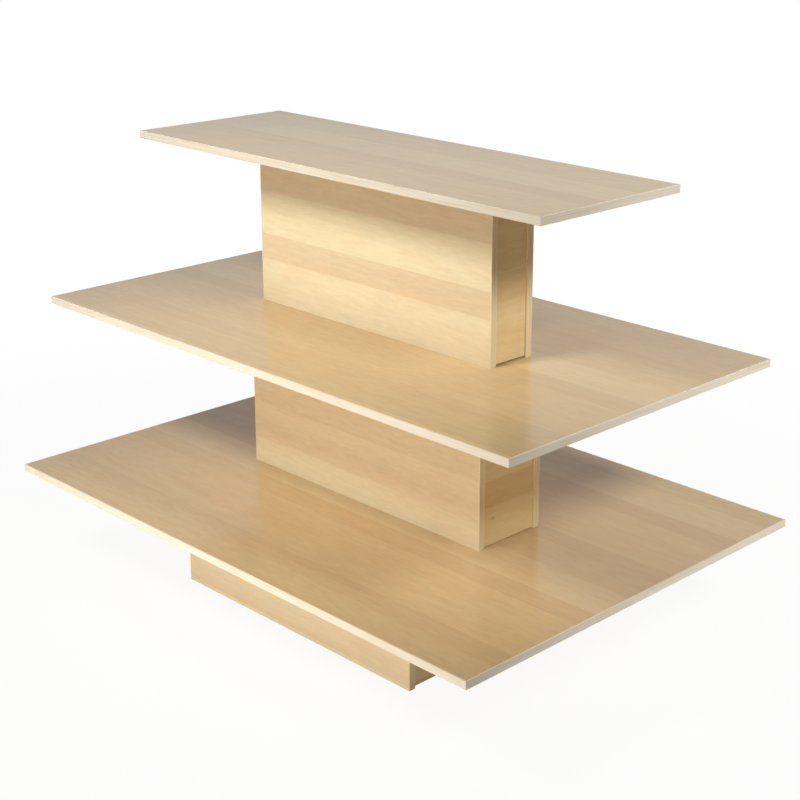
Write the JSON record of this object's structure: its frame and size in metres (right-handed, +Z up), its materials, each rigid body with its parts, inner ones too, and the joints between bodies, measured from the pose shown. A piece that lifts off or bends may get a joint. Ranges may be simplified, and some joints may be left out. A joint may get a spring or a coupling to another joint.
{
  "type": "tiered display table",
  "caption": "Free-standing stepped shop display table: three laminated decks that narrow upwards, held by central box risers on a hollow plinth with screw-adjustable feet.",
  "frame": {"origin": "on the floor under the middle of the table, in the plane of the feet's undersides", "axes": "+Z up, +X along the decks' length, -Y the front"},
  "size_m": [1.525, 1.062, 1.077],
  "materials": {
    "maple_laminate": "semi-gloss maple woodgrain laminate",
    "maple_edge_band": "pale cream edge band",
    "pine_batten": "planed pine",
    "beech_dowel": "turned beech",
    "zinc_plated_steel": "bright zinc plating",
    "cast_zinc": "die-cast zinc",
    "black_nylon": "matt black"
  },
  "bodies": {
    "table": {"batten_screws": "zinc_plated_steel", "bottom_deck_back_band": "maple_edge_band", "bottom_deck_front_band": "maple_edge_band", "bottom_deck_left_band": "maple_edge_band", "bottom_deck_panel": "maple_laminate", "bottom_deck_right_band": "maple_edge_band", "cam_bolts": "zinc_plated_steel", "cam_discs": "cast_zinc", "deck_screws": "zinc_plated_steel", "dowels": "beech_dowel", "lower_riser_back": "maple_laminate", "lower_riser_back_bottom_batten": "pine_batten", "lower_riser_back_top_batten": "pine_batten", "lower_riser_end_bands": "maple_edge_band", "lower_riser_front": "maple_laminate", "lower_riser_front_bottom_batten": "pine_batten", "lower_riser_front_top_batten": "pine_batten", "lower_riser_left": "maple_laminate", "lower_riser_right": "maple_laminate", "middle_deck_back_band": "maple_edge_band", "middle_deck_front_band": "maple_edge_band", "middle_deck_left_band": "maple_edge_band", "middle_deck_panel": "maple_laminate", "middle_deck_right_band": "maple_edge_band", "plinth_back": "maple_laminate", "plinth_back_batten": "pine_batten", "plinth_corner_blocks": "pine_batten", "plinth_end_bands": "maple_edge_band", "plinth_front": "maple_laminate", "plinth_front_batten": "pine_batten", "plinth_left": "maple_laminate", "plinth_left_batten": "pine_batten", "plinth_right": "maple_laminate", "plinth_right_batten": "pine_batten", "tee_nuts": "zinc_plated_steel", "top_deck_back_band": "maple_edge_band", "top_deck_front_band": "maple_edge_band", "top_deck_left_band": "maple_edge_band", "top_deck_panel": "maple_laminate", "top_deck_right_band": "maple_edge_band", "upper_riser_back": "maple_laminate", "upper_riser_back_bottom_batten": "pine_batten", "upper_riser_back_top_batten": "pine_batten", "upper_riser_end_bands": "maple_edge_band", "upper_riser_front": "maple_laminate", "upper_riser_front_bottom_batten": "pine_batten", "upper_riser_front_top_batten": "pine_batten", "upper_riser_left": "maple_laminate", "upper_riser_right": "maple_laminate"},
    "front_left_leveller": {"front_left_stud": "zinc_plated_steel", "front_left_foot": "black_nylon"},
    "front_right_leveller": {"front_right_stud": "zinc_plated_steel", "front_right_foot": "black_nylon"},
    "back_left_leveller": {"back_left_stud": "zinc_plated_steel", "back_left_foot": "black_nylon"},
    "back_right_leveller": {"back_right_stud": "zinc_plated_steel", "back_right_foot": "black_nylon"}
  },
  "joints": [
    {"name": "front_left_level_screw", "type": "slide", "parent": "table", "child": "front_left_leveller", "axis": [0, 0, -1], "range_m": [0, 0.015]},
    {"name": "front_right_level_screw", "type": "slide", "parent": "table", "child": "front_right_leveller", "axis": [0, 0, -1], "range_m": [0, 0.015]},
    {"name": "back_left_level_screw", "type": "slide", "parent": "table", "child": "back_left_leveller", "axis": [0, 0, -1], "range_m": [0, 0.015]},
    {"name": "back_right_level_screw", "type": "slide", "parent": "table", "child": "back_right_leveller", "axis": [0, 0, -1], "range_m": [0, 0.015]}
  ]
}
